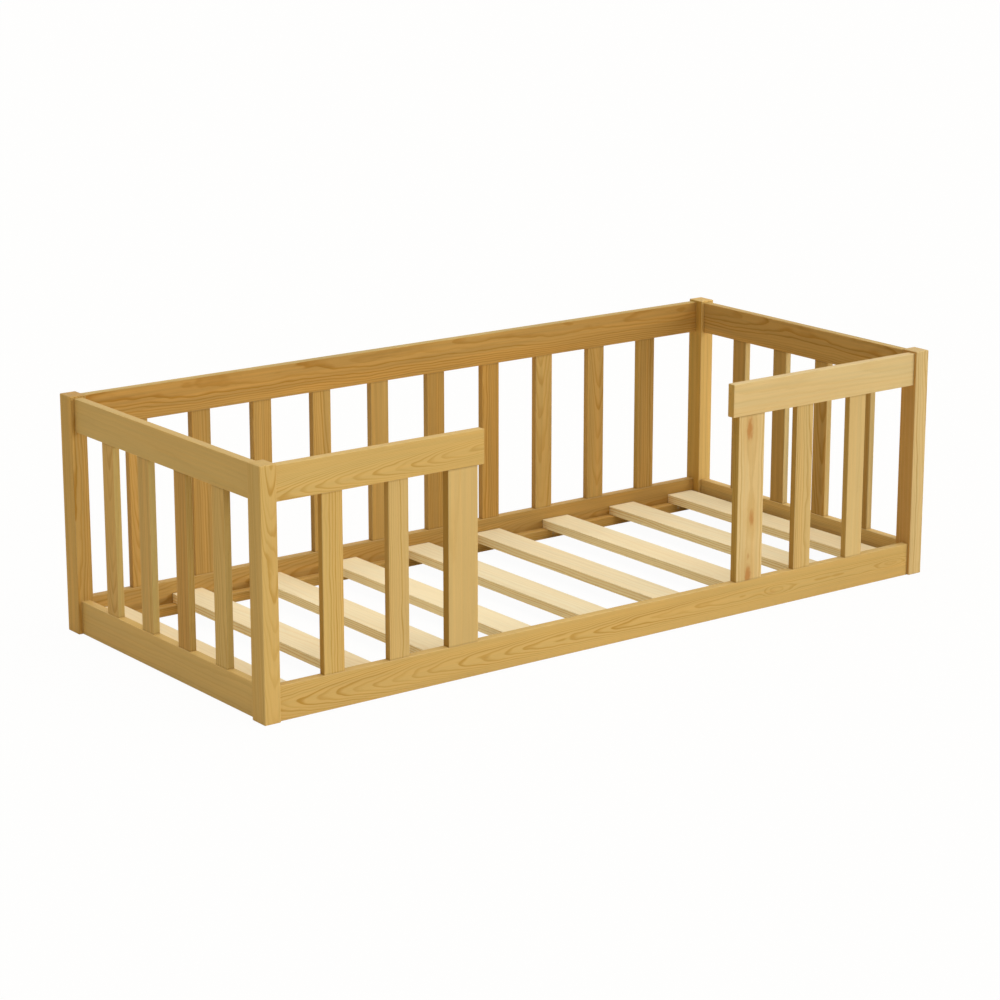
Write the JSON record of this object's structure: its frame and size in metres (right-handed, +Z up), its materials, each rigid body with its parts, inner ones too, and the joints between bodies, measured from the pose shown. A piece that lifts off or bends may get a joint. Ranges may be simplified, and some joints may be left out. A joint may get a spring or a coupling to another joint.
{
  "type": "toddler floor bed",
  "caption": "Low pine bed frame on the floor: posts, rails and upright bars round three sides, guards with a way in at the front, and slats on ledgers.",
  "frame": {"origin": "on the floor, in the middle of the bed's footprint", "axes": "+X along the bed, -Y towards the front with the way in, +Z up"},
  "size_m": [1.97, 0.87, 0.578],
  "materials": {
    "stained_pine": "honey stain under satin varnish",
    "bare_pine": "planed and unfinished",
    "beech_dowel": "fluted and unfinished",
    "zinc_plated_steel": "zinc plated",
    "cast_zinc": "as cast"
  },
  "bodies": {
    "root": {"front_left_post": "stained_pine", "front_right_post": "stained_pine", "rear_left_post": "stained_pine", "rear_right_post": "stained_pine", "front_bottom_rail": "stained_pine", "rear_bottom_rail": "stained_pine", "rear_top_rail": "stained_pine", "left_bottom_rail": "stained_pine", "left_top_rail": "stained_pine", "right_bottom_rail": "stained_pine", "right_top_rail": "stained_pine", "left_guard_rail": "stained_pine", "right_guard_rail": "stained_pine", "rear_bar_01": "stained_pine", "rear_bar_02": "stained_pine", "rear_bar_03": "stained_pine", "rear_bar_04": "stained_pine", "rear_bar_05": "stained_pine", "rear_bar_06": "stained_pine", "rear_bar_07": "stained_pine", "rear_bar_08": "stained_pine", "rear_bar_09": "stained_pine", "rear_bar_10": "stained_pine", "left_end_bar_1": "stained_pine", "left_end_bar_2": "stained_pine", "left_end_bar_3": "stained_pine", "left_end_bar_4": "stained_pine", "right_end_bar_1": "stained_pine", "right_end_bar_2": "stained_pine", "right_end_bar_3": "stained_pine", "right_end_bar_4": "stained_pine", "left_guard_bar_1": "stained_pine", "left_guard_bar_2": "stained_pine", "right_guard_bar_1": "stained_pine", "right_guard_bar_2": "stained_pine", "left_guard_board": "stained_pine", "right_guard_board": "stained_pine", "front_ledger": "stained_pine", "rear_ledger": "stained_pine", "slat_1": "bare_pine", "slat_2": "bare_pine", "slat_3": "bare_pine", "slat_4": "bare_pine", "slat_5": "bare_pine", "slat_6": "bare_pine", "slat_7": "bare_pine", "slat_8": "bare_pine", "slat_9": "bare_pine", "rail_dowels": "beech_dowel", "rear_bar_dowels": "beech_dowel", "left_end_bar_dowels": "beech_dowel", "right_end_bar_dowels": "beech_dowel", "left_guard_dowels": "beech_dowel", "right_guard_dowels": "beech_dowel", "slat_pegs": "beech_dowel", "cam_bolts": "zinc_plated_steel", "ledger_screws": "zinc_plated_steel", "cam_housings": "cast_zinc"}
  },
  "joints": []
}
